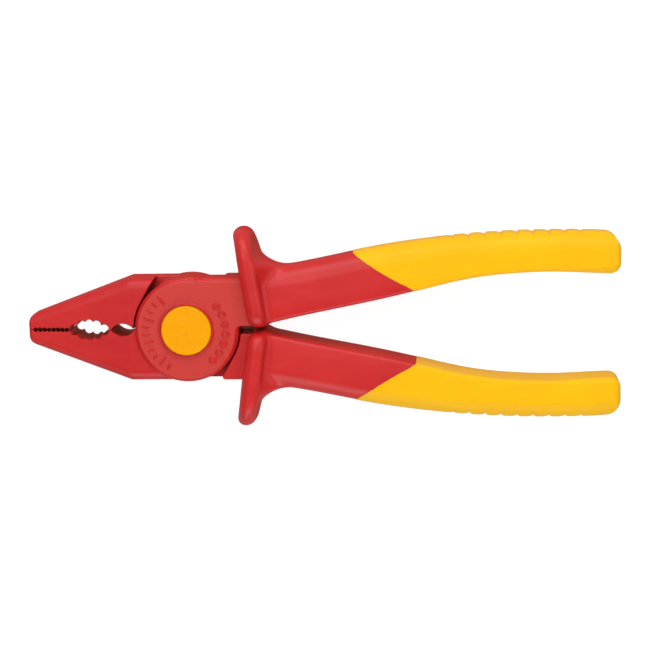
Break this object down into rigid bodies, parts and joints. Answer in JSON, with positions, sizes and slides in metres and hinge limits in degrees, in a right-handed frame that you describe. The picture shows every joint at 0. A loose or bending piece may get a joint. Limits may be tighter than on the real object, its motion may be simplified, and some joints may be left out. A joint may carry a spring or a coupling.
{
  "type": "insulated gripping pliers",
  "caption": "Moulded insulated gripping pliers with a lap joint, toothed flat jaws, a pipe grip, hand guards and two-colour handles; the handles open and close the jaws.",
  "frame": {"origin": "on the pivot axis, midway between the two halves", "axes": "+X along the tool towards the handle ends, +Y in the plane of the tool towards the handle of the front half, +Z along the pivot axis towards the front half's plate"},
  "size_m": [0.1789, 0.0604, 0.0252],
  "materials": {
    "red_plastic": "satin glass-fibre reinforced moulding",
    "red_sleeve": "satin moulding",
    "yellow_grip": "satin soft-touch moulding",
    "yellow_cap": "semi-gloss moulding",
    "pin_plastic": "glass-fibre reinforced moulding",
    "bearing_plastic": "natural self-lubricating plastic"
  },
  "bodies": {
    "rear_lever": {"rear_half": "red_plastic", "lower_guard_sleeve": "red_sleeve", "lower_grip": "yellow_grip", "pivot_pin": "pin_plastic", "retaining_ring": "pin_plastic", "thrust_washer": "bearing_plastic", "front_cap": "yellow_cap", "rear_cap": "yellow_cap"},
    "front_lever": {"front_half": "red_plastic", "upper_guard_sleeve": "red_sleeve", "upper_grip": "yellow_grip", "pivot_bush": "bearing_plastic"}
  },
  "joints": [
    {"name": "jaw_pivot", "type": "hinge", "parent": "rear_lever", "child": "front_lever", "pos_m": [0, 0, 0], "axis": [0, 0, 1], "range_deg": [0, 40]}
  ]
}
